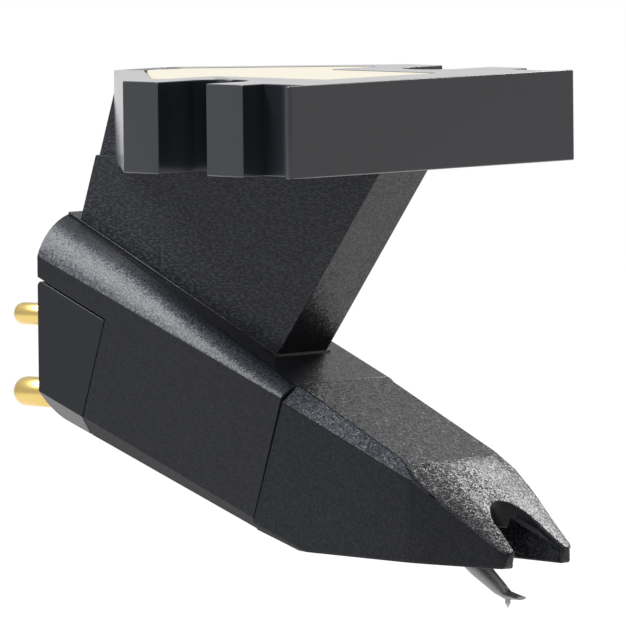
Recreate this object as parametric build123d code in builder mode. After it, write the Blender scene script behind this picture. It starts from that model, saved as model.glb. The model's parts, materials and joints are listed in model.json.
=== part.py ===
from build123d import *
from math import cos, radians, sin, tan
import os

# Moving-magnet turntable cartridge with a half-inch mount and a pull-off stylus unit.
# Millimetres. X points forward to the stylus nose, Y to the left, Z up.
# The origin lies on the top face, midway between the two rear screw slots.

# Mounting bracket
screw_spacing = 12.7
slot_width = 2.6
bracket_width = 16.5
bracket_thickness = 3.6
bracket_front = 5.77
bracket_shoulder = 3.19
tail_reach = 10.0
tail_width = 3.4
bracket_corner = 0.12
bracket_edge = 0.04
side_recess_start = 3.26
side_recess_depth = 1.2
front_lip = 0.25

# Weight plate
plate_thickness = 1.6
plate_rim = 1.25
plate_rear_rim = 1.1
plate_waist = 6.4
plate_waist_rear = 3.0
plate_wing = 0.6
plate_front = 3.0
plate_corner = 0.25
plate_edge = 0.1
plate_gap = 0.06
plate_sink = 0.01

# Fin that carries the bracket, and the tongue that it is glued on
fin_width = 2.86
fin_lean = 18.7
fin_ledge = 0.03
fin_shoulder = 0.16
fin_front = 4.22
fin_front_lean = 37.2
fin_root = 0.8
plinth_margin = 0.14
plinth_front = 0.12
plinth_rise = 0.1
tongue_width = 2.48
tongue_reach = 10.16
tongue_rise = 1.5
tongue_heel = 0.9
tongue_front = 3.0
tongue_gap = 0.04

# Generator housing: its section on the upright rear face and at the stylus seam
body_width = 6.78
rear_reach = 12.78
rear_top_drop = 5.84
rear_top_width = 3.18
rear_shoulder_drop = 7.44
rear_shoulder_bulge = 0.28
rear_sill_drop = 12.86
rear_bottom_drop = 13.78
rear_bottom_width = 5.1
seam_x = -0.235
seam_drop = 15.015
seam_top = 3.07
seam_top_width = 5.3
seam_shoulder = 2.54
seam_shoulder_bulge = 0.07
seam_sill = -2.5
seam_bottom = -3.01
seam_bottom_width = 5.86
seam_gap = 0.03

# Terminal block and its pins
block_corner_x = -9.08
block_corner_drop = 9.89
block_top_lean = 22.5
block_foot_radius = 1.2
seam_nick_radius = 0.2
block_gap = 0.05
pin_pitch = 3.0
pin_end = 15.75
pin_tail = 0.8
pin_step = 0.17
pin_fit = 0.02
pin_end_flat = 0.05
upper_pin_drop = 9.94
upper_pin_diameter = 0.9
lower_pin_drop = 13.08
lower_pin_diameter = 1.2

# Generator: the axis leans down with the stylus slide and runs through the cantilever pivot
slide_lean = 18.0
pivot_ahead = 4.913
pivot_rise = -0.123
chamber_width = 5.0
chamber_height = 4.48
chamber_length = 7.3
chamber_gap = 0.02
tail_chamber_width = 4.8
tail_chamber_bottom = -1.7
tail_chamber_top = 3.2
carrier_flange = 1.4
nose_width = 4.4
nose_top = 1.95
nose_bottom = -1.6
nose_gap = 0.1
nose_front = -1.0
nose_chamfer = 0.2
pole_pitch_y = 2.5
pole_pitch_h = 2.2
pole_diameter = 0.55
pole_setback = 0.15
pole_fit = 0.02
coil_length = 5.3
cheek_width = 1.85
bobbin_core = 0.95
bobbin_cheek = 0.3
winding_diameter = 1.7
yoke_thickness = 0.5
shield_wall = 0.15
shield_gap = 0.03
yoke_corner = 0.3

# Stylus unit
stylus_width = 6.66
stylus_taper = 0.036
taper_end = 7.4
taper_radius = 6.0
brow_x = 7.45
brow_drop = 15.29
crown_radius = 13.9
nose_tip_x = 11.14
nose_tip_drop = 18.18
nose_tip_width = 4.0
nose_corner = 0.7
nose_rise = 1.5
toe_x = 10.95
toe_drop = 18.9
keel_x = 1.15
keel_drop = 18.6
keel_radius = 0.3
bevel_width = 0.72
bevel_drop = 0.72
bevel_end = 7.3
bevel_end_drop = 15.6
foot_bevel_width = 0.36
foot_bevel_rise = 0.36
notch_inner = 8.95
notch_radius = 1.15
notch_mouth = 2.8
channel_width = 2.7
channel_roof = 1.3
roof_x = 8.9
roof_drop = 17.0
roof_fall = 0.7
holder_back = 0.9
holder_front = 0.7
holder_gap = 0.02

# Suspension and cantilever
tube_diameter = 2.4
tube_bore = 2.0
tube_rear = -6.0
tube_front = 0.9
tube_fit = 0.03
cantilever_angle = 35.0
cantilever_rear = 1.5
cantilever_heel_diameter = 0.42
cantilever_diameter = 0.8
cantilever_neck_diameter = 0.58
cantilever_bore = 0.24
bore_stop = 0.5
collar_start = -0.5
taper_start = 4.3
shank_end = 5.6
spoon_x = 10.13
spoon_drop = 20.21
spoon_width = 0.56
spoon_thickness = 0.14
spoon_angle = 12.0
spoon_root_rise = 0.09
spoon_root_thickness = 0.36
magnet_diameter = 0.72
magnet_length = 0.92
magnet_fit = 0.02
magnet_setback = 0.05
damper_thickness = 0.9
damper_fit = 0.03
damper_hole_gap = 0.05
anchor_rear = -3.4
anchor_thickness = 0.6
anchor_height = 0.62
anchor_fit = 0.02
wire_diameter = 0.1
wire_fit = 0.02
wire_grip = 0.1
wire_radius = 0.3
tip_setback = 0.71
tip_below = 0.43
tip_shank = 0.23
tip_diameter = 0.22
tip_cone = 0.2
tip_fit = 0.015

# Cuts that run right through reach this far, and corners are picked within this margin
far = body_width + bracket_width
pick_margin = 0.05

os.makedirs("parts", exist_ok=True)

slide = (cos(radians(slide_lean)), 0, -sin(radians(slide_lean)))
across = (sin(radians(slide_lean)), 0, cos(radians(slide_lean)))


def on_seam(height, ahead=0.0):
    """Side-view point (x, z) at a height up the seam plane, moved ahead along the slide."""
    x = seam_x + height * across[0] + ahead * slide[0]
    z = -seam_drop + height * across[2] + ahead * slide[2]
    return (x, z)


def on_axis(along, height):
    """Side-view point (x, z) at a place along the slide axis and a height above it."""
    return on_seam(pivot_rise + height, pivot_ahead + along)


pivot_x, pivot_z = on_seam(pivot_rise, pivot_ahead)
pivot = (pivot_x, 0, pivot_z)
axis_plane = Plane(origin=pivot, x_dir=(0, 1, 0), z_dir=slide)
seam_plane = Plane(origin=(seam_x, 0, -seam_drop), x_dir=(0, 1, 0), z_dir=slide)
rear_plane = Plane(origin=(-rear_reach, 0, 0), x_dir=(0, 1, 0), z_dir=(1, 0, 0))

# Places along the slide, measured from the pivot and negative behind it
seam_s = -pivot_ahead
chamber_rear_s = seam_s - chamber_length
coil_front_s = seam_s - carrier_flange
coil_rear_s = coil_front_s - coil_length


def corners_between(sketch, low_x, high_x):
    """Corners of a sketch from one place along X to another, with a margin for rounding."""
    return sketch.vertices().filter_by_position(Axis.X, low_x - pick_margin, high_x + pick_margin)


def save(part, name):
    part.label = name
    export_step(part, f"parts/{name}.step")


def body_section(plane, bottom, bottom_width, sill, shoulder, top, top_width, bulge):
    """Cross-section of the housing: bevelled foot, flat sides and a bowed shoulder."""
    half = body_width / 2
    rise = top - shoulder
    run = half - top_width / 2
    slant = (rise**2 + run**2) ** 0.5
    crown_y = half - run / 2 + bulge * rise / slant
    crown_z = shoulder + rise / 2 + bulge * run / slant
    with BuildSketch(plane) as section:
        with BuildLine():
            Polyline((0, bottom), (bottom_width / 2, bottom), (half, sill), (half, shoulder))
            ThreePointArc((half, shoulder), (crown_y, crown_z), (top_width / 2, top))
            Line((top_width / 2, top), (0, top))
            mirror(about=Plane.YZ)
        make_face()
    return section.sketch


def body_form():
    """Outer form of the generator housing, from the rear face to the stylus seam."""
    rear = body_section(
        rear_plane,
        -rear_bottom_drop,
        rear_bottom_width,
        -rear_sill_drop,
        -rear_shoulder_drop,
        -rear_top_drop,
        rear_top_width,
        rear_shoulder_bulge,
    )
    front = body_section(
        seam_plane,
        seam_bottom,
        seam_bottom_width,
        seam_sill,
        seam_shoulder,
        seam_top,
        seam_top_width,
        seam_shoulder_bulge,
    )
    with BuildPart() as form:
        loft([rear, front], ruled=True)
    return form.part


def block_region(gap):
    """Side view of the space that the terminal block fills, grown by a gap."""
    corner_x = block_corner_x + gap * slide[0]
    corner_z = -block_corner_drop + gap
    rear_x = -rear_reach - far
    rear_z = corner_z + (corner_x - rear_x) * tan(radians(block_top_lean))
    with BuildSketch(Plane.XZ) as region:
        with BuildLine():
            Polyline(
                (corner_x, corner_z),
                (rear_x, rear_z),
                (rear_x, corner_z - far),
                (corner_x - far * across[0], corner_z - far * across[2]),
                close=True,
            )
        make_face()
    return region.sketch


def plate_outline(grow):
    """Arrow-shaped outline of the weight plate, grown all round."""
    tail_half = tail_width / 2
    slope = (bracket_half - tail_half) / (tail_reach - bracket_shoulder)
    rim = (plate_rim - grow) * (1 + slope**2) ** 0.5
    rear_x = -tail_reach + plate_rear_rim - grow
    wing_x = -plate_waist_rear + grow
    wing_corner_x = wing_x - plate_wing
    waist_y = plate_waist / 2 + grow

    def taper_y(x):
        return tail_half + slope * (x + tail_reach) - rim

    with BuildSketch() as outline:
        with BuildLine():
            Polyline(
                (rear_x, 0),
                (rear_x, taper_y(rear_x)),
                (wing_corner_x, taper_y(wing_corner_x)),
                (wing_x, taper_y(wing_corner_x)),
                (wing_x, waist_y),
                (plate_front + grow, waist_y),
                (plate_front + grow, 0),
            )
            mirror(about=Plane.XZ)
        make_face()
        chamfer(corners_between(outline, wing_corner_x, plate_front + grow), plate_corner)
    return outline.sketch


def rod(plane, diameter, length):
    """Plain round rod that starts on a plane and runs along its normal."""
    with BuildPart() as piece:
        with BuildSketch(plane):
            Circle(diameter / 2)
        extrude(amount=length)
    return piece.part


# Mounting bracket: an arrow-shaped moulding with open screw slots and shallow side recesses
bracket_half = bracket_width / 2
recess_end = bracket_front - front_lip
with BuildPart() as mounting_bracket:
    with BuildSketch() as outline:
        with BuildLine():
            Polyline(
                (bracket_front, 0),
                (bracket_front, bracket_half),
                (-bracket_shoulder, bracket_half),
                (-tail_reach, tail_width / 2),
                (-tail_reach, 0),
            )
            mirror(about=Plane.XZ)
        make_face()
        fillet(corners_between(outline, -bracket_shoulder, bracket_front), bracket_corner)
    extrude(amount=-bracket_thickness)
    chamfer(mounting_bracket.faces().filter_by(Axis.Z).edges(), bracket_edge)
    with BuildSketch():
        for side in (1, -1):
            with Locations((0, side * screw_spacing / 2)):
                Circle(slot_width / 2)
            with Locations((0, side * (screw_spacing + bracket_half) / 2)):
                Rectangle(slot_width, bracket_half)
            with Locations(((side_recess_start + recess_end) / 2, side * bracket_half)):
                Rectangle(recess_end - side_recess_start, 2 * side_recess_depth)
    extrude(amount=-bracket_thickness, mode=Mode.SUBTRACT)
    extrude(plate_outline(plate_gap), amount=-plate_thickness - plate_sink, mode=Mode.SUBTRACT)
    channel_half = tongue_width / 2 + tongue_gap
    with BuildSketch(Plane.XZ):
        with BuildLine():
            Polyline(
                (-far, -bracket_thickness),
                (-far, bracket_thickness),
                (-tail_reach + tongue_heel + tongue_gap, bracket_thickness),
                (-tail_reach + tongue_heel + tongue_gap, tongue_rise + tongue_gap - bracket_thickness),
                (tongue_front + tongue_gap, tongue_rise + tongue_gap - bracket_thickness),
                (tongue_front + tongue_gap, -bracket_thickness),
                close=True,
            )
        make_face()
    extrude(amount=channel_half, both=True, mode=Mode.SUBTRACT)
save(mounting_bracket.part, "mounting_bracket")

# Brass weight plate, glued in the top of the bracket
with BuildPart() as weight_plate:
    extrude(plate_outline(0).moved(Location((0, 0, -plate_sink))), amount=-plate_thickness)
    chamfer(weight_plate.faces().sort_by(Axis.Z)[-1].edges(), plate_edge)
save(weight_plate.part, "weight_plate")


def fin_rear_x(z, ledge):
    return -tongue_reach + z * tan(radians(fin_lean)) - ledge


def fin_front_x(z):
    return fin_front + (z + bracket_thickness) * tan(radians(fin_front_lean))


def top_z(x):
    """Height of the sloping top face of the housing."""
    return -rear_top_drop + top_slope * (x + rear_reach)


# Slope of the housing's top face, and where the front of the fin meets it
seam_top_x, seam_top_z = on_seam(seam_top)
top_slope = (seam_top_z + rear_top_drop) / (seam_top_x + rear_reach)
front_run = tan(radians(fin_front_lean))
fin_foot_x = (fin_front + (top_z(0) + bracket_thickness) * front_run) / (1 - top_slope * front_run)
plinth_end_x = fin_foot_x + plinth_front

# Generator housing: sloping shell, carrying fin and bracket tongue in one moulding
fin_shoulder_z = -bracket_thickness + fin_shoulder
fin_root_z = -rear_top_drop - fin_root
fin_toe_z = seam_top_z + fin_root
with BuildPart() as generator_housing:
    add(body_form())
    with BuildSketch(Plane.XZ):
        with BuildLine():
            Polyline(
                (fin_rear_x(fin_shoulder_z, fin_ledge), fin_shoulder_z),
                (fin_rear_x(fin_root_z, fin_ledge), fin_root_z),
                (fin_front_x(fin_toe_z), fin_toe_z),
                (fin_front, -bracket_thickness),
                (-tail_reach, -bracket_thickness),
                (-tail_reach, fin_shoulder_z),
                close=True,
            )
        make_face()
    extrude(amount=fin_width / 2, both=True)
    tongue_top = tongue_rise - bracket_thickness
    with BuildSketch(Plane.XZ):
        with BuildLine():
            Polyline(
                (fin_rear_x(fin_root_z, 0), fin_root_z),
                (fin_rear_x(-plate_sink, 0), -plate_sink),
                (-tail_reach + tongue_heel, -plate_sink),
                (-tail_reach + tongue_heel, tongue_top),
                (tongue_front, tongue_top),
                (tongue_front, -bracket_thickness),
                (fin_front_x(fin_toe_z), fin_toe_z),
                close=True,
            )
        make_face()
    extrude(amount=tongue_width / 2, both=True)
    with BuildSketch(Plane.XZ):
        with BuildLine():
            Polyline(
                (-rear_reach, top_z(-rear_reach) + plinth_rise),
                (plinth_end_x, top_z(plinth_end_x) + plinth_rise),
                (plinth_end_x, top_z(plinth_end_x) - fin_root),
                (-rear_reach, top_z(-rear_reach) - fin_root),
                close=True,
            )
        make_face()
    extrude(amount=fin_width / 2 + plinth_margin, both=True)
    extrude(block_region(block_gap), amount=far, both=True, mode=Mode.SUBTRACT)
    with BuildSketch(axis_plane.offset(seam_s)):
        Rectangle(chamber_width, chamber_height)
    extrude(amount=chamber_length, both=True, mode=Mode.SUBTRACT)
    with BuildSketch(axis_plane.offset(chamber_rear_s)):
        with Locations((0, (tail_chamber_top + tail_chamber_bottom) / 2)):
            Rectangle(tail_chamber_width, tail_chamber_top - tail_chamber_bottom)
    extrude(amount=-chamber_length, mode=Mode.SUBTRACT)
    rear_edges = generator_housing.faces().sort_by(Axis.X)[0].edges()
    fillet(rear_edges.sort_by(Axis.Z)[0], seam_nick_radius)
save(generator_housing.part, "generator_housing")


def pin_places():
    """Name, side and height values of the four terminal pins."""
    for side_name, side in (("left", 1), ("right", -1)):
        yield f"terminal_pin_{side_name}_upper", side, upper_pin_drop, upper_pin_diameter
        yield f"terminal_pin_{side_name}_lower", side, lower_pin_drop, lower_pin_diameter


def block_front_x(drop):
    """Where a level line meets the front face of the terminal block."""
    return block_corner_x - (drop - block_corner_drop) * across[0] / across[2]


# Terminal block: the rear lower corner of the body, with a rounded foot
with BuildPart() as terminal_block:
    add(body_form())
    extrude(block_region(0), amount=far, both=True, mode=Mode.INTERSECT)
    rear_edges = terminal_block.faces().sort_by(Axis.X)[0].edges()
    fillet(rear_edges.sort_by(Axis.Z)[0], block_foot_radius)
    rear_edges = terminal_block.faces().sort_by(Axis.X)[0].edges()
    fillet(rear_edges.sort_by(Axis.Z)[-1], seam_nick_radius)
    for _, side, drop, diameter in pin_places():
        with BuildSketch(Plane.YZ.offset(-rear_reach)):
            with Locations((side * pin_pitch / 2, -drop)):
                Circle(diameter / 2 - pin_step + pin_fit)
        extrude(amount=far, both=True, mode=Mode.SUBTRACT)
save(terminal_block.part, "terminal_block")

# Gold terminal pins: a domed free end, and a shank that steps down through the block
for name, side, drop, diameter in pin_places():
    shank_length = rear_reach + block_front_x(drop) + pin_tail
    with BuildPart() as terminal_pin:
        with BuildSketch(Plane.YZ.offset(-pin_end)):
            with Locations((side * pin_pitch / 2, -drop)):
                Circle(diameter / 2)
        extrude(amount=pin_end - rear_reach)
        with BuildSketch(Plane.YZ.offset(-rear_reach)):
            with Locations((side * pin_pitch / 2, -drop)):
                Circle(diameter / 2 - pin_step)
        extrude(amount=shank_length)
        fillet(terminal_pin.faces().sort_by(Axis.X)[0].edges(), diameter / 2 - pin_end_flat)
    save(terminal_pin.part, name)


def pole_places():
    """Name and place of the four poles round the slide axis."""
    for side_name, side in (("left", 1), ("right", -1)):
        for level_name, level in (("upper", 1), ("lower", -1)):
            yield f"{side_name}_{level_name}", (side * pole_pitch_y / 2, level * pole_pitch_h / 2)


pole_spots = [place for _, place in pole_places()]

# Pole carrier: flange in the mouth of the chamber, nose block that the stylus unit slides over
with BuildPart() as pole_carrier:
    with BuildSketch(axis_plane.offset(coil_front_s)):
        Rectangle(chamber_width - 2 * chamber_gap, chamber_height - 2 * chamber_gap)
    extrude(amount=carrier_flange)
    with BuildSketch(axis_plane.offset(coil_front_s)):
        with Locations((0, (nose_top + nose_bottom) / 2)):
            Rectangle(nose_width, nose_top - nose_bottom)
    extrude(amount=nose_front - coil_front_s)
    chamfer(pole_carrier.faces().sort_by(Axis(pivot, slide))[-1].edges(), nose_chamfer)
    with BuildSketch(axis_plane.offset(coil_front_s)):
        Circle(tube_diameter / 2 + tube_fit)
        with Locations(*pole_spots):
            Circle(pole_diameter / 2 + pole_fit)
    extrude(amount=nose_front - coil_front_s, mode=Mode.SUBTRACT)
save(pole_carrier.part, "pole_carrier")

# Poles, bobbins and windings
for name, place in pole_places():
    at_pole = Plane(axis_plane.from_local_coords((*place, 0)), x_dir=(0, 1, 0), z_dir=slide)
    pole_pin = rod(at_pole.offset(coil_rear_s), pole_diameter, nose_front - pole_setback - coil_rear_s)
    save(pole_pin, f"pole_pin_{name}")

    with BuildPart() as coil_bobbin:
        with BuildSketch(at_pole.offset(coil_rear_s)):
            Rectangle(bobbin_core, bobbin_core)
        extrude(amount=coil_length)
        with BuildSketch(at_pole.offset(coil_rear_s), at_pole.offset(coil_front_s - bobbin_cheek)):
            Rectangle(cheek_width, cheek_width)
        extrude(amount=bobbin_cheek)
        with BuildSketch(at_pole.offset(coil_rear_s)):
            Circle(pole_diameter / 2 + pole_fit)
        extrude(amount=coil_length, mode=Mode.SUBTRACT)
    save(coil_bobbin.part, f"coil_bobbin_{name}")

    with BuildPart() as coil_winding:
        with BuildSketch(at_pole.offset(coil_rear_s + bobbin_cheek)):
            Circle(winding_diameter / 2)
            Rectangle(bobbin_core, bobbin_core, mode=Mode.SUBTRACT)
        extrude(amount=coil_length - 2 * bobbin_cheek)
    save(coil_winding.part, f"coil_winding_{name}")

# Yoke plate that closes the magnetic circuit behind the coils
with BuildPart() as rear_yoke:
    with BuildSketch(axis_plane.offset(coil_rear_s)):
        RectangleRounded(
            chamber_width - 2 * (chamber_gap + shield_wall + shield_gap),
            chamber_height - 2 * (chamber_gap + shield_wall + shield_gap),
            yoke_corner,
        )
    extrude(amount=-yoke_thickness)
save(rear_yoke.part, "rear_yoke")

# Folded shield sleeve round the coils
with BuildPart() as shield_sleeve:
    with BuildSketch(axis_plane.offset(coil_front_s)):
        Rectangle(chamber_width - 2 * chamber_gap, chamber_height - 2 * chamber_gap)
        Rectangle(
            chamber_width - 2 * (chamber_gap + shield_wall),
            chamber_height - 2 * (chamber_gap + shield_wall),
            mode=Mode.SUBTRACT,
        )
    extrude(amount=-coil_length - yoke_thickness)
save(shield_sleeve.part, "shield_sleeve")


def stylus_half_width(x):
    return stylus_width / 2 - stylus_taper * x


def bevel_plane(side):
    """Plane of the long bevel that runs out along the top edge of the stylus unit."""
    start_x, start_z = on_seam(seam_top)
    half = stylus_half_width(start_x)
    low = Vector(start_x, side * half, start_z - bevel_drop)
    high = Vector(start_x, side * (half - bevel_width), start_z)
    end = Vector(bevel_end, side * stylus_half_width(bevel_end), -bevel_end_drop)
    normal = (high - low).cross(end - low) * side
    return Plane(origin=low, x_dir=end - low, z_dir=normal)


def foot_plane(side):
    """Plane of the short bevel under the stylus unit, from the seam to the keel."""
    low_x, low_z = on_seam(seam_bottom)
    high_x, high_z = on_seam(seam_bottom + foot_bevel_rise)
    low = Vector(low_x, side * (stylus_half_width(low_x) - foot_bevel_width), low_z)
    high = Vector(high_x, side * stylus_half_width(high_x), high_z)
    end = Vector(keel_x, side * stylus_half_width(keel_x), -keel_drop)
    normal = (high - low).cross(end - low) * side
    return Plane(origin=low, x_dir=end - low, z_dir=normal)


# Line of the crowned nose, from the brow to the tip, and the lean of the front under it
nose_line = Vector(nose_tip_x - brow_x, 0, brow_drop - nose_tip_drop)
crown_plane = Plane(origin=(brow_x, 0, -brow_drop), x_dir=(0, 1, 0), z_dir=nose_line)
front_run_out = (nose_tip_x - toe_x) / (toe_drop - nose_tip_drop)

# Stylus housing: wedge with a crowned nose, forked by a finger notch and open below
pocket_width = nose_width + 2 * nose_gap
pocket_top = nose_top + nose_gap
pocket_bottom = nose_bottom - nose_gap
with BuildPart() as stylus_housing:
    with BuildSketch(Plane.XZ) as side_view:
        with BuildLine():
            Polyline(
                (brow_x, -brow_drop),
                on_seam(seam_top, seam_gap),
                on_seam(seam_bottom, seam_gap),
                (keel_x, -keel_drop),
                (toe_x, -toe_drop),
                (nose_tip_x + nose_rise * front_run_out, -nose_tip_drop + nose_rise),
                close=True,
            )
        make_face()
        fillet(side_view.vertices().sort_by_distance((keel_x, 0, -keel_drop))[0], keel_radius)
    extrude(amount=stylus_width, both=True)
    with BuildSketch(crown_plane.offset(-far)):
        with Locations((0, -crown_radius)):
            Circle(crown_radius)
    extrude(amount=2 * far, mode=Mode.INTERSECT)
    with BuildSketch(Plane.XY.offset(-far)) as plan_view:
        with BuildLine():
            Polyline(
                (-stylus_width, 0),
                (-stylus_width, stylus_half_width(-stylus_width)),
                (taper_end, stylus_half_width(taper_end)),
                (nose_tip_x, nose_tip_width / 2),
                (nose_tip_x, 0),
            )
            mirror(about=Plane.XZ)
        make_face()
        fillet(corners_between(plan_view, taper_end, taper_end), taper_radius)
        fillet(corners_between(plan_view, nose_tip_x, nose_tip_x), nose_corner)
    extrude(amount=far, mode=Mode.INTERSECT)
    for side in (1, -1):
        split(bisect_by=bevel_plane(side), keep=Keep.BOTTOM)
        split(bisect_by=foot_plane(side), keep=Keep.BOTTOM)
    with BuildSketch(axis_plane.offset(holder_front)):
        with Locations((0, (pocket_top + pocket_bottom) / 2)):
            Rectangle(pocket_width, pocket_top - pocket_bottom)
    extrude(amount=-far, mode=Mode.SUBTRACT)
    with BuildSketch(Plane.XZ):
        with BuildLine():
            Polyline(
                on_axis(holder_front, channel_roof),
                (roof_x, -roof_drop),
                (nose_tip_x + far, -roof_drop - far * roof_fall),
                (nose_tip_x + far, pivot_z - far),
                on_axis(holder_front, -far),
                close=True,
            )
        make_face()
    extrude(amount=channel_width / 2, both=True, mode=Mode.SUBTRACT)
    with BuildSketch(Plane.XY.offset(-far)):
        with Locations((notch_inner + notch_radius, 0)):
            Circle(notch_radius)
        with BuildLine():
            Polyline(
                (notch_inner + notch_radius, notch_radius),
                (nose_tip_x, notch_mouth / 2),
                (far, notch_mouth / 2),
                (far, -notch_mouth / 2),
                (nose_tip_x, -notch_mouth / 2),
                (notch_inner + notch_radius, -notch_radius),
                close=True,
            )
        make_face()
    extrude(amount=far, mode=Mode.SUBTRACT)
save(stylus_housing.part, "stylus_housing")

# Holder that fixes the suspension tube in the stylus housing
with BuildPart() as stylus_holder:
    with BuildSketch(axis_plane.offset(-holder_back)):
        with Locations((0, (pocket_top + pocket_bottom) / 2)):
            Rectangle(pocket_width - 2 * holder_gap, pocket_top - pocket_bottom - 2 * holder_gap)
        Circle(tube_diameter / 2 + holder_gap, mode=Mode.SUBTRACT)
    extrude(amount=holder_back + holder_front)
save(stylus_holder.part, "stylus_holder")

# Brass suspension tube
with BuildPart() as suspension_tube:
    with BuildSketch(axis_plane.offset(tube_rear)):
        Circle(tube_diameter / 2)
        Circle(tube_bore / 2, mode=Mode.SUBTRACT)
    extrude(amount=tube_front - tube_rear)
save(suspension_tube.part, "suspension_tube")

# Anchor disc that the tie wire is crimped in
with BuildPart() as wire_anchor:
    with BuildSketch(axis_plane.offset(anchor_rear)):
        Circle(tube_bore / 2 - anchor_fit)
        with Locations((0, anchor_height)):
            Circle(wire_diameter / 2 + wire_fit, mode=Mode.SUBTRACT)
    extrude(amount=anchor_thickness)
save(wire_anchor.part, "wire_anchor")

# Direction of the cantilever, and the place of the stylus point
reach = (cos(radians(cantilever_angle)), 0, -sin(radians(cantilever_angle)))
tip_x = spoon_x - tip_setback
tip_drop = spoon_drop + tip_below
cantilever_plane = Plane(origin=pivot, x_dir=(0, 1, 0), z_dir=reach)


def along_cantilever(distance):
    return cantilever_plane.from_local_coords((0, 0, distance))


# Tie wire from the heel of the cantilever to the anchor
wire_start = along_cantilever(-cantilever_rear + wire_grip)
wire_end = axis_plane.from_local_coords((0, anchor_height, anchor_rear))
wire_bend = axis_plane.from_local_coords((0, anchor_height, anchor_rear + anchor_thickness + wire_grip))
with BuildPart() as tie_wire:
    with BuildLine() as wire_path:
        FilletPolyline(wire_start, wire_bend, wire_end, radius=wire_radius)
    with BuildSketch(Plane(origin=wire_path.line @ 0, z_dir=wire_path.line % 0)):
        Circle(wire_diameter / 2)
    sweep()
save(tie_wire.part, "tie_wire")

# Rubber damper ring with a ball-shaped rim that turns in the tube
with BuildPart() as damper_ring:
    ball = Sphere(tube_bore / 2 - damper_fit, mode=Mode.PRIVATE).moved(Location(pivot))
    add(ball)
    with BuildSketch(cantilever_plane.offset(-damper_thickness / 2)):
        Circle(tube_diameter)
    extrude(amount=damper_thickness, mode=Mode.INTERSECT)
    with BuildSketch(cantilever_plane.offset(-damper_thickness)):
        Circle(cantilever_diameter / 2 + damper_hole_gap)
    extrude(amount=2 * damper_thickness, mode=Mode.SUBTRACT)
save(damper_ring.part, "damper_ring")

# Magnet sleeve on the heel of the cantilever
with BuildPart() as armature_magnet:
    with BuildSketch(cantilever_plane.offset(-cantilever_rear + magnet_setback)):
        Circle(magnet_diameter / 2)
        Circle(cantilever_heel_diameter / 2 + magnet_fit, mode=Mode.SUBTRACT)
    extrude(amount=magnet_length)
save(armature_magnet.part, "armature_magnet")


def spoon_plane(x, drop):
    lean = radians(spoon_angle)
    return Plane(origin=(x, 0, -drop), x_dir=(0, 1, 0), z_dir=(cos(lean), 0, -sin(lean)))


# Cantilever: stepped aluminium tube, pressed flat where the diamond sits
with BuildPart() as cantilever:
    with BuildSketch(cantilever_plane.offset(-cantilever_rear)):
        Circle(cantilever_heel_diameter / 2)
    extrude(amount=cantilever_rear + collar_start)
    with BuildSketch(cantilever_plane.offset(collar_start)):
        Circle(cantilever_diameter / 2)
    extrude(amount=taper_start - collar_start)
    with BuildSketch(cantilever_plane.offset(taper_start)):
        Circle(cantilever_diameter / 2)
    with BuildSketch(cantilever_plane.offset(shank_end)):
        Circle(cantilever_neck_diameter / 2)
    with BuildSketch(spoon_plane(tip_x, spoon_drop - spoon_root_rise)):
        Ellipse(spoon_width / 2, spoon_root_thickness / 2)
    with BuildSketch(spoon_plane(spoon_x, spoon_drop)):
        Ellipse(spoon_width / 2, spoon_thickness / 2)
    loft(ruled=True)
    with BuildSketch(cantilever_plane.offset(-cantilever_rear)):
        Circle(cantilever_bore / 2)
    extrude(amount=cantilever_rear + shank_end - bore_stop, mode=Mode.SUBTRACT)
    with BuildSketch(Plane.XY.offset(-spoon_drop)):
        with Locations((tip_x, 0)):
            Circle(tip_diameter / 2 + tip_fit)
    extrude(amount=tip_below, both=True, mode=Mode.SUBTRACT)
save(cantilever.part, "cantilever")

# Diamond: a shank bonded through the spoon, with a conical point
with BuildPart() as diamond_tip:
    with BuildSketch(Plane.XZ):
        with BuildLine():
            Polyline(
                (tip_x, -tip_drop),
                (tip_x + tip_diameter / 2, -tip_drop + tip_cone),
                (tip_x + tip_diameter / 2, -spoon_drop + tip_shank),
                (tip_x, -spoon_drop + tip_shank),
                close=True,
            )
        make_face()
    revolve(axis=Axis((tip_x, 0, 0), (0, 0, 1)))
save(diamond_tip.part, "diamond_tip")
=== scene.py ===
import json
import math

import bmesh
import bpy
from bpy.props import FloatProperty, FloatVectorProperty, PointerProperty
from mathutils import Matrix, Vector


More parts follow.
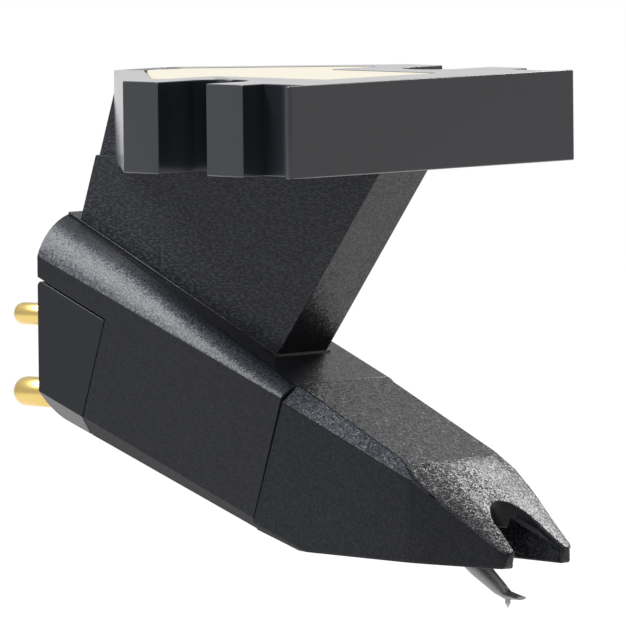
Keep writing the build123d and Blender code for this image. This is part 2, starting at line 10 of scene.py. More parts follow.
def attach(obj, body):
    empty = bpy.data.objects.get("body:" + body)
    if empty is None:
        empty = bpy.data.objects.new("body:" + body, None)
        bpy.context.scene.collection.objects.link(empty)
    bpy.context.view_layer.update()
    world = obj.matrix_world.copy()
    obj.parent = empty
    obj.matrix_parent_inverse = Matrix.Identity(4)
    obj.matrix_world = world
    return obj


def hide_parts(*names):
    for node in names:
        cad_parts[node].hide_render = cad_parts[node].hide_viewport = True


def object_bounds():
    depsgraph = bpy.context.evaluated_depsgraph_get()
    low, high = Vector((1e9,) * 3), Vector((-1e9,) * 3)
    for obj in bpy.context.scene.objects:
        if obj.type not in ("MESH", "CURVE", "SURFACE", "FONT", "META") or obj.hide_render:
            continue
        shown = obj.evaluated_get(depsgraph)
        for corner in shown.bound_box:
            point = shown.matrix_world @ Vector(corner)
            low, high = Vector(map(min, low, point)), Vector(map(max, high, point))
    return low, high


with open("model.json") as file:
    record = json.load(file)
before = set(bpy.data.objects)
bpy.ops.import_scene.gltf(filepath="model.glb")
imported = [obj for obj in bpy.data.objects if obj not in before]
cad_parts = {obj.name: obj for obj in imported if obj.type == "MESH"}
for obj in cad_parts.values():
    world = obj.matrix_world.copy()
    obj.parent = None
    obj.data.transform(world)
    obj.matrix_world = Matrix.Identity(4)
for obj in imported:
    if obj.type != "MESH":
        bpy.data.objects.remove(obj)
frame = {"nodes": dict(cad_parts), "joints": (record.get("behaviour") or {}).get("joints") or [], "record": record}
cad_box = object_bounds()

bl_info = {
    "name": "Turntable Cartridge Looks",
    "version": (1, 0, 0),
    "blender": (4, 5, 0),
    "location": "View3D > Sidebar > Cartridge",
    "description": "Rounded mouldings, finishes and a plain studio for a turntable cartridge",
    "category": "Object",
}

MM = 0.001
WHITE = (1.0, 1.0, 1.0)
BLACK = (0.0, 0.0, 0.0)
MID_GREY = (0.5, 0.5, 0.5)

# Sockets of the Mix node when it mixes colours
MIX_FACTOR, MIX_A, MIX_B, MIX_COLOUR = 0, 6, 7, 2

# The photograph's frame, a square, and the width of the camera's film
FRAME_PIXELS = 626
FILM_WIDTH = 36.0

# Nearest and farthest that the camera sees, in metres
NEAREST, FARTHEST = 0.01, 20.0

# Rays that see the studio as white, whatever light it gives
WHITE_RAYS = ("Camera", "Glossy", "Transmission")

# Edges that turn by more than this are hard, and those that turn by less than a right angle stay crisper
HARD_EDGE = math.radians(24)
SQUARE_EDGE = math.radians(70)
BLUNT_SHARE = 0.4
SHARP_SHADING = math.radians(32)
ROUND_STEPS = 3

# Radii on the mouldings inside and on the suspension tube
INNER_EDGE = 0.03 * MM
TUBE_EDGE = 0.02 * MM

# Corners nearer than this are one corner, and faces that turn by less than this are one face
WELD_REACH = 0.0002 * MM
FLAT_TURN = math.radians(0.4)

# Flat faces with more corners than this are split where they are hollow, so that none folds over an opening
MANY_CORNERS = 12

# Edges this near the seam between the body and the stylus unit take the seam's own radius
SEAM_REACH = 0.05 * MM

# Reach of the rear top corner of the stylus unit, which meets the body's top edge squarely
CORNER_REACH = 0.335 * MM
UP_FACING = 0.85
BROAD_AREA = MM * MM

# Roof of the cantilever's channel where it meets the finger notch, and how much taller the notch's wall is
ROOF_START = (8.9 * MM, -17.0 * MM)
ROOF_FALL = 0.7
ROOF_HALF = 1.36 * MM
ROOF_TOLERANCE = 0.01 * MM
WALL_GROWTH = 0.5 * MM

# The short bevel under the stylus unit: how it faces, how far forward it is looked for, its width past the keel
BEVEL_FACING = 0.3
BEVEL_START = 2.0 * MM
KEEL_BEVEL = 0.2 * MM

# Lips in the side walls that close the seam in front of the terminal block to light
FRONT_FACING = 0.8
FLAT_REACH = 0.01 * MM
LIP_INSET = 0.8 * MM
LIP_WIDTH = 0.3 * MM
LIP_THICKNESS = 0.3 * MM
LIP_FOOT = 0.6 * MM

# The sloping top of the body as a line in the side view; the fin stands above it
TOP_SLOPE = 0.4636
TOP_LEVEL = 11.765 * MM
FIN_FADE = 0.15 * MM

# How quickly a finish sets in as a surface turns to face a way, and where it starts
FACING_GAIN, FACING_START = 4.0, 1.2

# Lengths of the lines on drawn metal along X, Y and Z, and the wave texture's scale for one band per length
DRAWN_LINES = (0.5 * MM, 0.03 * MM, 0.03 * MM)
WAVE_SCALE = 0.314

SIDES = ("left", "right")
LEVELS = ("upper", "lower")
PLACES = [f"{side}_{level}" for side in SIDES for level in LEVELS]


def colour_setting(name, description, default):
    return FloatVectorProperty(
        name=name, description=description, default=default, size=3, subtype="COLOR", min=0.0, max=1.0
    )


def length_setting(name, description, millimetres):
    return FloatProperty(
        name=name, description=description, default=millimetres * MM, min=0.0, unit="LENGTH", precision=6
    )


def share_setting(name, description, default):
    return FloatProperty(name=name, description=description, default=default, min=0.0, max=1.0)


def brightness_setting(name, description, default):
    return FloatProperty(name=name, description=description, default=default, min=0.0)


def angle_setting(name, description, degrees):
    return FloatProperty(name=name, description=description, default=math.radians(degrees), unit="ROTATION")


def direction_setting(name, description, default):
    return FloatVectorProperty(name=name, description=description, default=default, size=3, subtype="DIRECTION")


class MouldingSettings(bpy.types.PropertyGroup):
    """Edge rounding and surface grain of the mouldings"""

    bracket_edge: length_setting("Bracket edge", "Radius on the hard edges of the bracket", 0.04)
    housing_edge: length_setting("Housing edge", "Radius on the hard edges of the generator housing", 0.05)
    block_edge: length_setting("Block edge", "Radius on the hard edges of the terminal block", 0.05)
    stylus_edge: length_setting("Stylus edge", "Radius on the hard edges of the stylus housing", 0.10)
    seam_edge: length_setting("Seam edge", "Radius on the edges of the stylus housing at the seam", 0.006)
    plate_edge: length_setting("Plate edge", "Radius on the hard edges of the weight plate", 0.03)
    satin_grain: length_setting("Satin grain", "Size of the faint grain on the smooth mouldings", 0.05)
    spark_grain: length_setting("Spark grain", "Size of the sparkling grain on the body and the stylus", 0.065)
    body_lean: share_setting("Body grain lean", "Lean of the grains on the body", 0.14)
    stylus_lean: share_setting("Stylus grain lean", "Lean of the grains on the stylus", 0.22)
    dash_length: length_setting("Dash length", "Length of the short dashes on the sides of the fin", 0.2)
    dash_height: length_setting("Dash height", "Height of the short dashes on the sides of the fin", 0.065)


class ColourSettings(bpy.types.PropertyGroup):
    """Colours of the finishes"""

    bracket: colour_setting("Bracket", "Satin plastic of the bracket", (0.0125, 0.0140, 0.0185))
    housing: colour_setting("Housing", "Grained plastic of the generator housing", (0.0056, 0.0062, 0.0080))
    block: colour_setting("Terminal block", "Smooth plastic of the terminal block", (0.0085, 0.0095, 0.0130))
    stylus: colour_setting("Stylus housing", "Grained plastic of the stylus housing", (0.0056, 0.0062, 0.0080))
    inner: colour_setting("Inner mouldings", "Plain plastic of the carrier and the holder", (0.008, 0.008, 0.0085))
    bobbin: colour_setting("Bobbins", "Plain plastic of the bobbins", (0.5, 0.46, 0.38))
    brass: colour_setting("Brass", "Weight plate", (0.88, 0.78, 0.54))
    gold: colour_setting("Gold", "Plating of the terminal pins", (0.50, 0.37, 0.13))
    tube: colour_setting("Tube brass", "Suspension tube and wire anchor", (0.72, 0.56, 0.28))
    aluminium: colour_setting("Aluminium", "Cantilever tube", (0.20, 0.20, 0.205))
    iron: colour_setting("Iron", "Poles and yoke", (0.46, 0.45, 0.44))
    shield: colour_setting("Shield", "Folded shield sleeve", (0.58, 0.57, 0.55))
    copper: colour_setting("Copper", "Enamelled wire of the coils", (0.66, 0.27, 0.12))
    magnet: colour_setting("Magnet", "Ground magnet sleeve", (0.28, 0.28, 0.29))
    rubber: colour_setting("Rubber", "Damper ring", (0.016, 0.016, 0.016))
    diamond: colour_setting("Diamond", "Stylus point", (0.10, 0.10, 0.105))
    floor: colour_setting("Floor", "Pale studio floor", (0.72, 0.72, 0.72))


class StudioSettings(bpy.types.PropertyGroup):
    """Light and camera"""

    daylight: share_setting("Daylight", "Soft light from all round", 0.22)
    floor_glow: share_setting("Floor glow", "White of the floor beyond what the light gives it", 0.84)
    over_light: brightness_setting("Overhead light", "Brightness of the light above the body", 19.0)
    over_way: direction_setting("Overhead way", "Way to the light above the body", (-0.30, -0.45, 0.841))
    over_width: length_setting("Overhead width", "Width of the light above the body", 100.0)
    over_depth: length_setting("Overhead depth", "Depth of the light above the body", 250.0)
    nose_light: brightness_setting("Nose light", "Brightness of the light beyond the nose", 25.0)
    nose_way: direction_setting("Nose way", "Way to the light beyond the nose", (-0.09, 0.82, 0.565))
    nose_width: length_setting("Nose width", "Width of the light beyond the nose", 55.0)
    nose_depth: length_setting("Nose depth", "Depth of the light beyond the nose", 80.0)
    light_distance: length_setting("Light distance", "From the lights to the part", 300.0)
    azimuth: angle_setting("Azimuth", "Turn of the camera round the part", 43.107)
    elevation: angle_setting("Elevation", "Height of the camera above level", 3.787)
    roll: angle_setting("Roll", "Turn of the camera round its view", -0.596)
    distance: length_setting("Distance", "From the camera to the part", 472.81)
    focal_pixels: FloatProperty(name="Focal length", description="In pixels of the photograph", default=12000.0)
    aim: FloatVectorProperty(
        name="Aim",
        description="Point of the part that sits at the picture's aim",
        default=(0.002, 0.0, -0.009),
        size=3,
    )
    aim_across: length_setting("Aim across", "Aim point right of the picture's centre", 2.067)
    aim_above: length_setting("Aim above", "Aim point above the picture's centre", 0.363)
    floor_drop: length_setting("Floor drop", "Floor below the stylus point", 40.0)
    floor_size: length_setting("Floor size", "Width of the floor", 6000.0)


class Field:
    """One socket of a node tree; operators on it add Math nodes"""

    def __init__(self, nodes, socket):
        self.nodes = nodes
        self.socket = socket

    def __add__(self, other):
        return self.nodes.maths("ADD", self, other)

    def __radd__(self, other):
        return self.nodes.maths("ADD", other, self)

    def __sub__(self, other):
        return self.nodes.maths("SUBTRACT", self, other)

    def __rsub__(self, other):
        return self.nodes.maths("SUBTRACT", other, self)

    def __mul__(self, other):
        return self.nodes.maths("MULTIPLY", self, other)

    def __rmul__(self, other):
        return self.nodes.maths("MULTIPLY", other, self)

    def __abs__(self):
        return self.nodes.maths("ABSOLUTE", self)

    def clamped(self):
        return self.nodes.maths("ADD", self, 0.0, clamp=True)


class Nodes:
    """A node tree, emptied, and the ways to add nodes to it"""

    def __init__(self, tree):
        self.tree = tree
        self.tree.nodes.clear()

    def fill(self, socket, value):
        if isinstance(value, Field):
            self.tree.links.new(value.socket, socket)
        elif socket.type == "RGBA":
            socket.default_value = (*value[:3], 1.0)
        else:
            socket.default_value = value

    def node(self, kind, settings=None, inputs=None, output=0):
        made = self.tree.nodes.new(kind)
        for key, value in (settings or {}).items():
            if key == "stops":
                self.set_stops(made.color_ramp, value)
            else:
                setattr(made, key, value)
        for key, value in (inputs or {}).items():
            self.fill(made.inputs[key], value)
        return Field(self, made.outputs[output]) if made.outputs else None

    def set_stops(self, ramp, stops):
        for element, (position, grey) in zip(ramp.elements, stops):
            element.position = position
            element.color = (grey, grey, grey, 1.0)

    def maths(self, operation, first, second=0.0, clamp=False):
        settings = {"operation": operation, "use_clamp": clamp}
        return self.node("ShaderNodeMath", settings, {0: first, 1: second})

    def mix(self, factor, first, second):
        inputs = {MIX_FACTOR: factor, MIX_A: first, MIX_B: second}
        return self.node("ShaderNodeMix", {"data_type": "RGBA"}, inputs, MIX_COLOUR)

    def white_rays(self):
        """One on the rays that see the studio as white, and nought on the rest."""
        rays = [self.node("ShaderNodeLightPath", output=f"Is {ray} Ray") for ray in WHITE_RAYS]
        return (rays[0] + rays[1] + rays[2]).clamped()


class Finish(Nodes):
    """A material with one Principled shader, whose sockets take plain values or fields"""

    def __init__(self, name):
        self.material = bpy.data.materials.new(name)
        self.material.use_nodes = True
        super().__init__(self.material.node_tree)
        self.surface = self.tree.nodes.new("ShaderNodeBsdfPrincipled")
        self.node("ShaderNodeOutputMaterial", inputs={"Surface": Field(self, self.surface.outputs["BSDF"])})

    def shade(self, **sockets):
        for name, value in sockets.items():
            self.fill(self.surface.inputs[name.replace("_", " ").title().replace("Ior", "IOR")], value)

    def place(self):
        return self.node("ShaderNodeTexCoord", output="Object")

    def axis(self, name):
        return self.node("ShaderNodeSeparateXYZ", inputs={"Vector": self.place()}, output=name)

    def facing(self, name):
        normal = self.node("ShaderNodeTexCoord", output="Normal")
        return self.node("ShaderNodeSeparateXYZ", inputs={"Vector": normal}, output=name)

    def noise(self, size, detail=2.0, roughness=0.5):
        inputs = {"Vector": self.place(), "Scale": 1.0 / size, "Detail": detail, "Roughness": roughness}
        return self.node("ShaderNodeTexNoise", inputs=inputs)

    def stretched_noise(self, sizes, detail=2.0):
        scale = tuple(1.0 / size for size in sizes)
        vector = self.vectors("MULTIPLY", self.place(), scale)
        return self.node("ShaderNodeTexNoise", inputs={"Vector": vector, "Scale": 1.0, "Detail": detail})

    def cells(self, size):
        inputs = {"Vector": self.place(), "Scale": 1.0 / size}
        return self.node("ShaderNodeTexVoronoi", {"feature": "SMOOTH_F1"}, inputs)

    def edges(self):
        # One on sharp convex edges: the mask for edges painted lighter, as painted edge highlights and edge wear
        point = self.node("ShaderNodeNewGeometry", output="Pointiness")
        return self.node("ShaderNodeValToRGB", {"stops": [(0.5, 0.0), (0.58, 1.0)]}, {"Fac": point})

    def bump(self, height, depth):
        return self.node("ShaderNodeBump", inputs={"Height": height, "Distance": depth})

    def vectors(self, operation, first, second=BLACK):
        return self.node("ShaderNodeVectorMath", {"operation": operation}, {0: first, 1: second})

    def sparkle(self, size, lean):
        """A normal that leans a random way on each grain, by a share that may be a field."""
        inputs = {"Vector": self.place(), "Scale": 1.0 / size}
        way = self.node("ShaderNodeTexVoronoi", {"feature": "F1"}, inputs, "Color")
        way = self.vectors("MULTIPLY", self.vectors("SUBTRACT", way, MID_GREY), lean)
        normal = self.node("ShaderNodeNewGeometry", output="Normal")
        return self.vectors("NORMALIZE", self.vectors("ADD", normal, way))


def tint(colour, share):
    """A colour made lighter, or darker with a share under one."""
    return tuple(min(1.0, part * share) for part in colour)


def grained_plastic(name, colour, moulding, lean, specular, fin=False):
    """Spark-eroded moulding with smoother crests, a dull sill, painted glints on the crests of slopes that face up
    and to a side, and, on the fin's sides, short dashes.
    """
    finish = Finish(name)
    grain = finish.noise(moulding.spark_grain, detail=2.0, roughness=0.6)
    crest = (grain * 4.0 - 1.5).clamped()
    side = (abs(finish.facing("Y")) * FACING_GAIN - FACING_START).clamped()
    sill = (finish.facing("Z") * -FACING_GAIN - FACING_START).clamped() * side
    # Slopes that face up and to a side, toward the overhead light: the mask where glints are painted
    painted_glint_slope = (finish.facing("Z") * FACING_GAIN - FACING_START).clamped() * side
    shade = finish.mix(crest, tint(colour, 0.7), tint(colour, 1.4))
    # Grain crests on those slopes painted much lighter: painted glints of the overhead light
    shade = finish.mix(crest * painted_glint_slope, shade, tint(colour, 13.0))
    if fin:
        above = finish.axis("Z") + finish.axis("X") * TOP_SLOPE + TOP_LEVEL
        on_fin = (above * (1 / FIN_FADE)).clamped() * side
        lengths = (moulding.dash_length, moulding.dash_length, moulding.dash_height)
        dashes = (finish.stretched_noise(lengths) * 9.0 - 4.4).clamped()
        shade = finish.mix(on_fin * dashes, shade, tint(colour, 6.5))
    # Sharp edges painted lighter: painted edge highlights and edge wear
    shade = finish.mix(finish.edges() * 0.4, shade, tint(colour, 2.5))
    finish.shade(
        base_color=shade,
        roughness=0.34 - crest * 0.06 + sill * 0.40,
        specular_ior_level=specular,
        normal=finish.sparkle(moulding.spark_grain, (1.0 - sill * 0.8) * lean),
    )
    return finish


def satin_plastic(name, colour, size, roughness, specular):
    """Smooth moulding with a faint fine grain and slight clouds."""
    finish = Finish(name)
    grain = finish.noise(size, detail=2.0)
    clouds = finish.noise(40 * size, detail=3.0)
    shade = finish.mix(clouds * 0.5, colour, tint(colour, 0.82))
    # Sharp edges painted lighter: painted edge highlights and edge wear
    shade = finish.mix(finish.edges() * 0.4, shade, tint(colour, 1.9))
    finish.shade(
        base_color=shade,
        roughness=roughness + clouds * 0.05,
        specular_ior_level=specular,
        normal=finish.bump(grain, 0.0008 * MM),
    )
    return finish


def polished_metal(name, colour, roughness, brushed, depth):
    """Metal with fine drawn lines along one axis and a slight tarnish."""
    finish = Finish(name)
    lines = finish.stretched_noise(brushed)
    tarnish = finish.noise(1.6 * MM, detail=3.0)
    shade = finish.mix(tarnish * 0.5, colour, tint(colour, 0.86))
    finish.shade(
        base_color=shade,
        metallic=1.0,
        roughness=roughness + lines * 0.10,
        normal=finish.bump(lines, depth),
    )
    return finish


def wound_wire(name, colour, wire):
    """Rows of enamelled wire across the coil's axis, painted darker in the grooves between turns as painted shade.
    """
    finish = Finish(name)
    turns = finish.node(
        "ShaderNodeTexWave", {"bands_direction": "X"}, {"Vector": finish.place(), "Scale": WAVE_SCALE / wire}
    )
    finish.shade(
        # Darker where the bump is low: painted shade in the grooves between turns
        base_color=finish.mix(turns, tint(colour, 0.5), colour),
        metallic=0.8,
        roughness=0.32 + turns * 0.1,
        normal=finish.bump(turns, 0.4 * wire),
    )
    return finish


def rubber(name, colour):
    finish = Finish(name)
    bloom = finish.noise(0.2 * MM, detail=3.0)
    finish.shade(
        base_color=finish.mix(bloom, colour, tint(colour, 1.8)),
        roughness=0.72 + bloom * 0.15,
        normal=finish.bump(bloom, 0.004 * MM),
    )
    return finish


def cut_diamond(name, colour):
    finish = Finish(name)
    facets = finish.cells(0.06 * MM)
    finish.shade(
        base_color=finish.mix(facets, colour, tint(colour, 2.0)),
        roughness=0.06 + facets * 0.08,
        ior=2.42,
        normal=finish.bump(facets, 0.002 * MM),
    )
    return finish


def dress(finish, *nodes):
    """Gives CAD nodes their finish."""
    for node in nodes:
        surface = frame["nodes"][node].data
        surface.materials.clear()
        surface.materials.append(finish.material)


def body_of(node):
    bodies = frame["record"]["behaviour"]["bodies"]
    return next(body for body, nodes in bodies.items() if node in nodes)


def slide_way():
    """The way that the stylus unit pulls off."""
    return Vector(next(joint["axis"] for joint in frame["joints"] if joint["name"] == "stylus_release"))


def seam_place():
    """Where the seam lies along the slide: the rear face of the stylus unit."""
    way = slide_way()
    return min(way.dot(vertex.co) for vertex in frame["nodes"]["stylus_housing"].data.vertices)


def edge_share(edge, seam_share, way, seam):
    """Share of the full radius that an edge takes: none if it is soft or hollow, less if it is blunt."""
    if not edge.is_manifold or not edge.is_convex or edge.calc_face_angle() < HARD_EDGE:
        return 0.0
    if all(abs(way.dot(vertex.co) - seam) < SEAM_REACH for vertex in edge.verts):
        return seam_share
    return 1.0 if edge.calc_face_angle() > SQUARE_EDGE else BLUNT_SHARE


def square_rear_corner(form):
    """Brings the stylus unit's rear top corner up to the seam, against the body's top edge."""
    way, seam = slide_way(), seam_place()
    uppers = [face for face in form.faces if face.normal.z > UP_FACING and face.calc_area() > BROAD_AREA]
    top = max(uppers, key=lambda face: face.calc_center_median().z)
    level = top.normal.dot(top.verts[0].co)
    turn = way.x * top.normal.z - way.z * top.normal.x
    x = (seam * top.normal.z - level * way.z) / turn
    z = (level * way.x - seam * top.normal.x) / turn
    near = [vertex for vertex in form.verts if math.hypot(vertex.co.x - x, vertex.co.z - z) < CORNER_REACH]
    half = min(abs(vertex.co.y) for vertex in near)
    for vertex in near:
        vertex.co = (x, math.copysign(half, vertex.co.y), z)


def deepen_notch_wall(form):
    """Lowers the channel's roof at the finger notch, so that the notch has a taller wall."""
    for vertex in form.verts:
        x, y, z = vertex.co
        roof = ROOF_START[1] - (x - ROOF_START[0]) * ROOF_FALL
        on_roof = x > ROOF_START[0] - ROOF_TOLERANCE and abs(z - roof) < ROOF_TOLERANCE
        if on_roof and abs(y) < ROOF_HALF:
            vertex.co.z -= WALL_GROWTH


def cut_foot_bevel(form, side):
    """Carries the short bevel under the stylus unit past the keel."""
    way = slide_way()
    facet = next(
        face for face in form.faces
        if face.normal.y * side > BEVEL_FACING
        and face.normal.z < -BEVEL_FACING
        and face.calc_center_median().x < BEVEL_START
    )
    corners = sorted((vertex.co.copy() for vertex in facet.verts), key=way.dot)
    low, high = sorted(corners[:2], key=lambda corner: corner.z)
    keel = corners[-1] - Vector((0.0, side * KEEL_BEVEL, 0.0))
    outward = (high - low).cross(keel - low).normalized()
    if outward.y * side < 0:
        outward.negate()
    everything = form.verts[:] + form.edges[:] + form.faces[:]
    cut = bmesh.ops.bisect_plane(form, geom=everything, plane_co=low, plane_no=outward, clear_outer=True)
    rim = [item for item in cut["geom_cut"] if isinstance(item, bmesh.types.BMEdge)]
    bmesh.ops.holes_fill(form, edges=rim)
    bmesh.ops.recalc_face_normals(form, faces=form.faces)


def shape_stylus(form):
    """Brings the stylus housing's small forms to those of the real one."""
    square_rear_corner(form)
    deepen_notch_wall(form)
    bmesh.ops.remove_doubles(form, verts=form.verts, dist=WELD_REACH)
    join_flat_faces(form)
    for side in (1, -1):
        cut_foot_bevel(form, side)


def join_flat_faces(form):
    bmesh.ops.dissolve_limit(form, angle_limit=FLAT_TURN, verts=form.verts, edges=form.edges)


def keep_within(mesh, box):
    """Holds a piece's corners within the box of the whole part."""
    low, high = box
    for vertex in mesh.vertices:
        vertex.co = [min(max(place, start), end) for place, start, end in zip(vertex.co, low, high)]


def rounded_moulding(node, name, radius, finish, seam_share=1.0, shape=None, split=True):
    """A piece in a CAD node's place, with its form and with its hard outer edges rounded."""
    form = bmesh.new()
    form.from_mesh(frame["nodes"][node].data)
    bmesh.ops.remove_doubles(form, verts=form.verts, dist=WELD_REACH)
    if shape:
        shape(form)
    join_flat_faces(form)
    if split:
        broad = [face for face in form.faces if len(face.verts) > MANY_CORNERS]
        bmesh.ops.connect_verts_concave(form, faces=broad)
    share = form.edges.layers.float.new("bevel_weight_edge")
    way, seam = slide_way(), seam_place()
    for edge in form.edges:
        edge[share] = edge_share(edge, seam_share, way, seam)
    sharp = bpy.data.meshes.new(name)
    form.to_mesh(sharp)
    form.free()
    piece = bpy.data.objects.new(name, sharp)
    bpy.context.scene.collection.objects.link(piece)
    if radius > 0:
        rounding = piece.modifiers.new("Rounded edges", "BEVEL")
        rounding.limit_method = "WEIGHT"
        rounding.width = radius
        rounding.segments = ROUND_STEPS
        rounding.use_clamp_overlap = False
        shaped = piece.evaluated_get(bpy.context.evaluated_depsgraph_get())
        piece.data = bpy.data.meshes.new_from_object(shaped)
        piece.data.name = name
        piece.modifiers.remove(rounding)
        bpy.data.meshes.remove(sharp)
    mesh = piece.data
    keep_within(mesh, cad_box)
    mesh.polygons.foreach_set("use_smooth", [True] * len(mesh.polygons))
    mesh.set_sharp_from_angle(angle=SHARP_SHADING)
    mesh.materials.clear()
    mesh.materials.append(finish.material)
    even = piece.modifiers.new("Even shading", "WEIGHTED_NORMAL")
    even.keep_sharp = True
    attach(piece, body_of(node))
    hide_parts(node)


def seam_lip(side, name, finish):
    """A lip in a side wall, across the seam in front of the terminal block, that keeps light out of it."""
    block = frame["nodes"]["terminal_block"].data
    fronts = [face for face in block.polygons if face.normal.x > FRONT_FACING]
    rim = [block.vertices[index].co for face in fronts for index in face.vertices]
    half = max(corner.y for corner in rim)
    ends = sorted((corner for corner in rim if half - corner.y < FLAT_REACH), key=lambda corner: corner.z)
    high = ends[-1]
    low = ends[0] + (ends[0] - high).normalized() * LIP_FOOT
    across = fronts[0].normal
    level = Vector((0.0, 1.0, 0.0))
    turned = Matrix((across, level, across.cross(level))).transposed().to_4x4()
    sizes = Matrix.Diagonal((LIP_THICKNESS, LIP_WIDTH, (high - low).length, 1.0))
    centre = (low + high) / 2
    centre.y = side * (half - LIP_INSET)
    form = bmesh.new()
    bmesh.ops.create_cube(form, size=1.0, matrix=Matrix.Translation(centre) @ turned @ sizes)
    mesh = bpy.data.meshes.new(name)
    form.to_mesh(mesh)
    form.free()
    mesh.materials.append(finish.material)
    lip = bpy.data.objects.new(name, mesh)
    bpy.context.scene.collection.objects.link(lip)
    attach(lip, body_of("terminal_block"))


class CARTRIDGE_OT_mounting_bracket(bpy.types.Operator):
    """Rounds the mounting bracket and gives it its satin finish"""

    bl_idname = "cartridge.mounting_bracket"
    bl_label = "Mounting bracket"

    def execute(self, context):
        moulding = context.scene.cartridge_moulding
        colour = context.scene.cartridge_colours.bracket
        finish = satin_plastic("bracket_plastic", colour, moulding.satin_grain, 0.14, 0.5)
        rounded_moulding("mounting_bracket", "bracket_moulding", moulding.bracket_edge, finish)
        return {"FINISHED"}


class CARTRIDGE_OT_weight_plate(bpy.types.Operator):
    """Rounds and polishes the brass weight plate"""

    bl_idname = "cartridge.weight_plate"
    bl_label = "Weight plate"

    def execute(self, context):
        colours = context.scene.cartridge_colours
        brushed = (4.0 * MM, 0.03 * MM, 0.4 * MM)
        finish = polished_metal("plate_brass", colours.brass, 0.16, brushed, 0.0012 * MM)
        rounded_moulding("weight_plate", "brass_plate", context.scene.cartridge_moulding.plate_edge, finish)
        return {"FINISHED"}


class CARTRIDGE_OT_generator_housing(bpy.types.Operator):
    """Rounds the generator housing and gives it its grain"""

    bl_idname = "cartridge.generator_housing"
    bl_label = "Generator housing"

    def execute(self, context):
        moulding = context.scene.cartridge_moulding
        colour = context.scene.cartridge_colours.housing
        finish = grained_plastic("body_plastic", colour, moulding, moulding.body_lean, 0.195, fin=True)
        rounded_moulding("generator_housing", "housing_moulding", moulding.housing_edge, finish)
        return {"FINISHED"}


class CARTRIDGE_OT_terminals(bpy.types.Operator):
    """Rounds the terminal block and plates its pins"""

    bl_idname = "cartridge.terminals"
    bl_label = "Terminals"

    def execute(self, context):
        moulding = context.scene.cartridge_moulding
        colours = context.scene.cartridge_colours
        plastic = satin_plastic("block_plastic", colours.block, moulding.satin_grain, 0.3, 0.19)
        rounded_moulding("terminal_block", "block_moulding", moulding.block_edge, plastic, split=False)
        seam_lip(1, "seam_lip_left", plastic)
        seam_lip(-1, "seam_lip_right", plastic)
        brushed = (0.5 * MM, 0.04 * MM, 0.04 * MM)
        gold = polished_metal("pin_gold", colours.gold, 0.26, brushed, 0.001 * MM)
        for place in PLACES:
            rounded_moulding(f"terminal_pin_{place}", f"gold_pin_{place}", 0.0, gold)
        return {"FINISHED"}


class CARTRIDGE_OT_generator_parts(bpy.types.Operator):
    """Finishes the poles, coils, yoke, shield and carrier inside the housing"""

    bl_idname = "cartridge.generator_parts"
    bl_label = "Generator parts"

    def execute(self, context):
        colours = context.scene.cartridge_colours
        along = (0.6 * MM, 0.03 * MM, 0.03 * MM)
        iron = polished_metal("pole_iron", colours.iron, 0.34, along, 0.001 * MM)
        shield = polished_metal("shield_metal", colours.shield, 0.3, along, 0.001 * MM)
        bobbin = satin_plastic("bobbin_plastic", colours.bobbin, 0.04 * MM, 0.3, 0.5)
        winding = wound_wire("winding_copper", colours.copper, 0.06 * MM)
        inner = satin_plastic("carrier_plastic", colours.inner, 0.05 * MM, 0.3, 0.4)
        dress(iron, "rear_yoke", *[f"pole_pin_{place}" for place in PLACES])
        dress(shield, "shield_sleeve")
        dress(bobbin, *[f"coil_bobbin_{place}" for place in PLACES])
        dress(winding, *[f"coil_winding_{place}" for place in PLACES])
        rounded_moulding("pole_carrier", "carrier_moulding", INNER_EDGE, inner)
        return {"FINISHED"}


class CARTRIDGE_OT_stylus_housing(bpy.types.Operator):
    """Rounds the forked stylus housing and gives it its sparkling grain"""

    bl_idname = "cartridge.stylus_housing"
    bl_label = "Stylus housing"

    def execute(self, context):
        moulding = context.scene.cartridge_moulding
        colour = context.scene.cartridge_colours.stylus
        finish = grained_plastic("stylus_plastic", colour, moulding, moulding.stylus_lean, 0.15)
        seam_share = moulding.seam_edge / moulding.stylus_edge
        rounded_moulding(
            "stylus_housing", "stylus_moulding", moulding.stylus_edge, finish, seam_share, shape_stylus
        )
        return {"FINISHED"}


class CARTRIDGE_OT_suspension(bpy.types.Operator):
    """Finishes the holder, tube, damper, anchor and tie wire behind the cantilever"""

    bl_idname = "cartridge.suspension"
    bl_label = "Suspension"

    def execute(self, context):
        colours = context.scene.cartridge_colours
        holder = satin_plastic("holder_plastic", colours.inner, 0.05 * MM, 0.3, 0.4)
        brass = polished_metal("tube_brass", colours.tube, 0.24, DRAWN_LINES, 0.001 * MM)
        steel = polished_metal("wire_steel", colours.iron, 0.26, DRAWN_LINES, 0.0006 * MM)
        rounded_moulding("stylus_holder", "holder_moulding", INNER_EDGE, holder)
        rounded_moulding("suspension_tube", "brass_tube", TUBE_EDGE, brass)
        dress(brass, "wire_anchor")
        dress(steel, "tie_wire")
        dress(rubber("damper_rubber", colours.rubber), "damper_ring")
        return {"FINISHED"}


class CARTRIDGE_OT_cantilever(bpy.types.Operator):
    """Finishes the cantilever, its magnet and the diamond"""

    bl_idname = "cartridge.cantilever"
    bl_label = "Cantilever"

    def execute(self, context):
        colours = context.scene.cartridge_colours
        drawn = polished_metal("cantilever_aluminium", colours.aluminium, 0.5, DRAWN_LINES, 0.006 * MM)
        ground = polished_metal("magnet_metal", colours.magnet, 0.4, DRAWN_LINES, 0.002 * MM)
        rounded_moulding("cantilever", "aluminium_cantilever", 0.0, drawn)
        dress(ground, "armature_magnet")
        dress(cut_diamond("diamond", colours.diamond), "diamond_tip")
        return {"FINISHED"}


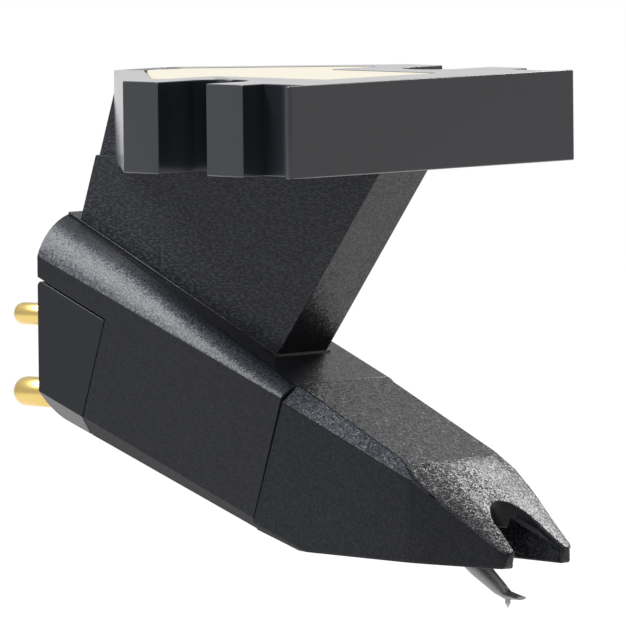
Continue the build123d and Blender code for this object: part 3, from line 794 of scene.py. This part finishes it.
class CARTRIDGE_OT_stage(bpy.types.Operator):
    """Lays the pale floor, hangs the soft lights and sets the camera"""

    bl_idname = "cartridge.stage"
    bl_label = "Stage"

    def execute(self, context):
        scene = context.scene
        studio = scene.cartridge_studio
        scene.view_settings.view_transform = "Standard"
        self.lay_floor(scene, studio)
        self.set_daylight(scene, studio)
        self.hang_light(
            scene, "over_light", studio.over_way, studio.over_width, studio.over_depth, studio.over_light
        )
        self.hang_light(
            scene, "nose_light", studio.nose_way, studio.nose_width, studio.nose_depth, studio.nose_light
        )
        self.set_camera(scene, studio)
        return {"FINISHED"}

    def lay_floor(self, scene, studio):
        finish = Finish("floor_paper")
        paper = finish.noise(0.4 * MM, detail=2.0)
        colour = scene.cartridge_colours.floor
        finish.shade(
            base_color=finish.mix(paper, colour, tint(colour, 0.985)),
            roughness=0.9,
            specular_ior_level=0.0,
            emission_color=finish.mix(finish.white_rays(), BLACK, WHITE),
            emission_strength=studio.floor_glow,
        )
        half = studio.floor_size / 2
        height = cad_box[0].z - studio.floor_drop
        mesh = bpy.data.meshes.new("studio_floor")
        corners = [(-half, -half, height), (half, -half, height), (half, half, height), (-half, half, height)]
        mesh.from_pydata(corners, [], [(0, 1, 2, 3)])
        mesh.materials.append(finish.material)
        floor = bpy.data.objects.new("studio_floor", mesh)
        scene.collection.objects.link(floor)

    def set_daylight(self, scene, studio):
        world = bpy.data.worlds.new("soft_daylight")
        scene.world = world
        world.use_nodes = True
        sky = Nodes(world.node_tree)
        strength = studio.daylight + sky.white_rays() * (1.0 - studio.daylight)
        light = sky.node("ShaderNodeBackground", inputs={"Color": WHITE, "Strength": strength})
        sky.node("ShaderNodeOutputWorld", inputs={"Surface": light})

    def hang_light(self, scene, name, way, width, depth, radiance):
        """A soft light that faces the part, given by the brightness of its face."""
        studio = scene.cartridge_studio
        lamp = bpy.data.lights.new(name, "AREA")
        lamp.shape = "RECTANGLE"
        lamp.size = width
        lamp.size_y = depth
        lamp.energy = radiance * math.pi * width * depth
        light = bpy.data.objects.new(name, lamp)
        scene.collection.objects.link(light)
        away = Vector(way).normalized()
        across = Vector((0.0, 1.0, 0.0)).cross(away).normalized()
        turned = Matrix((across, away.cross(across), away)).transposed().to_4x4()
        light.matrix_world = Matrix.Translation(Vector(studio.aim) + away * studio.light_distance) @ turned
        light.visible_camera = False

    def set_camera(self, scene, studio):
        turn, rise, roll = studio.azimuth, studio.elevation, studio.roll
        back = Vector((math.sin(turn) * math.cos(rise), -math.cos(turn) * math.cos(rise), math.sin(rise)))
        level = Vector((math.cos(turn), math.sin(turn), 0.0))
        upright = back.cross(level)
        right = level * math.cos(roll) + upright * math.sin(roll)
        up = upright * math.cos(roll) - level * math.sin(roll)
        centre = Vector(studio.aim) - right * studio.aim_across - up * studio.aim_above
        lens = bpy.data.cameras.new("camera")
        lens.sensor_width = FILM_WIDTH
        lens.lens = studio.focal_pixels * FILM_WIDTH / FRAME_PIXELS
        lens.clip_start = NEAREST
        lens.clip_end = FARTHEST
        camera = bpy.data.objects.new("camera", lens)
        scene.collection.objects.link(camera)
        turned = Matrix((right, up, back)).transposed().to_4x4()
        camera.matrix_world = Matrix.Translation(centre + back * studio.distance) @ turned
        scene.camera = camera


class CARTRIDGE_PT_looks(bpy.types.Panel):
    """Sizes, colours and steps of the cartridge's looks"""

    bl_label = "Cartridge"
    bl_idname = "CARTRIDGE_PT_looks"
    bl_space_type = "VIEW_3D"
    bl_region_type = "UI"
    bl_category = "Cartridge"

    def draw(self, context):
        scene = context.scene
        for settings in (scene.cartridge_moulding, scene.cartridge_colours, scene.cartridge_studio):
            box = self.layout.box()
            for name in settings.__annotations__:
                box.prop(settings, name)
        for operator in operators:
            self.layout.operator(operator.bl_idname)


operators = (
    CARTRIDGE_OT_mounting_bracket,
    CARTRIDGE_OT_weight_plate,
    CARTRIDGE_OT_generator_housing,
    CARTRIDGE_OT_terminals,
    CARTRIDGE_OT_generator_parts,
    CARTRIDGE_OT_stylus_housing,
    CARTRIDGE_OT_suspension,
    CARTRIDGE_OT_cantilever,
    CARTRIDGE_OT_stage,
)
classes = (MouldingSettings, ColourSettings, StudioSettings, *operators, CARTRIDGE_PT_looks)


def register():
    for cls in classes:
        bpy.utils.register_class(cls)
    bpy.types.Scene.cartridge_moulding = PointerProperty(type=MouldingSettings)
    bpy.types.Scene.cartridge_colours = PointerProperty(type=ColourSettings)
    bpy.types.Scene.cartridge_studio = PointerProperty(type=StudioSettings)


def unregister():
    del bpy.types.Scene.cartridge_studio
    del bpy.types.Scene.cartridge_colours
    del bpy.types.Scene.cartridge_moulding
    for cls in reversed(classes):
        bpy.utils.unregister_class(cls)


def main():
    register()
    bpy.ops.cartridge.mounting_bracket()
    bpy.ops.cartridge.weight_plate()
    bpy.ops.cartridge.generator_housing()
    bpy.ops.cartridge.terminals()
    bpy.ops.cartridge.generator_parts()
    bpy.ops.cartridge.stylus_housing()
    bpy.ops.cartridge.suspension()
    bpy.ops.cartridge.cantilever()
    bpy.ops.cartridge.stage()


if __name__ == "__main__":
    main()
